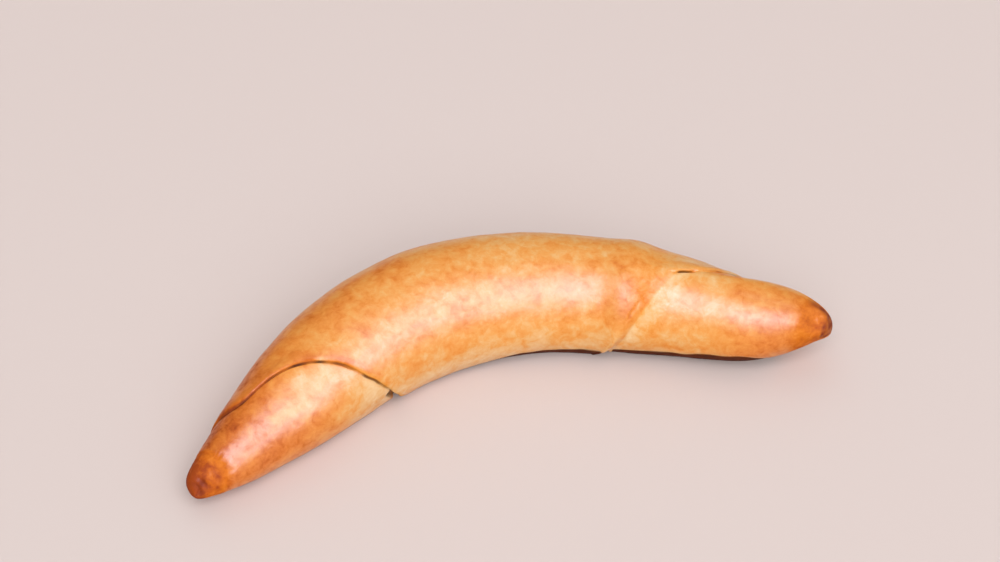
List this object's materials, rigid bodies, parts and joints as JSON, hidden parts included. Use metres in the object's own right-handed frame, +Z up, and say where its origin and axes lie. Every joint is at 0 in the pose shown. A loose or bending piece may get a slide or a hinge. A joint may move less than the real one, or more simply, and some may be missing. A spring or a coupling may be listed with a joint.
{
  "type": "halloumi pie",
  "caption": "Baked crescent-shaped roll of glossy golden dough: a wide middle wrap with slanting seams over slimmer ends, tapering to browned tips.",
  "frame": {"origin": "middle of the bounding box at its base, on the surface that the pie rests on", "axes": "+X from the narrow left tip to the blunt right tip, +Y from the hollow side to the outer side of the bend, +Z up"},
  "size_m": [0.2186, 0.0768, 0.0373],
  "materials": {
    "crust": "baked golden dough crust with an egg-wash sheen"
  },
  "bodies": {
    "root": {"halloumi_pie": "crust"}
  },
  "joints": []
}
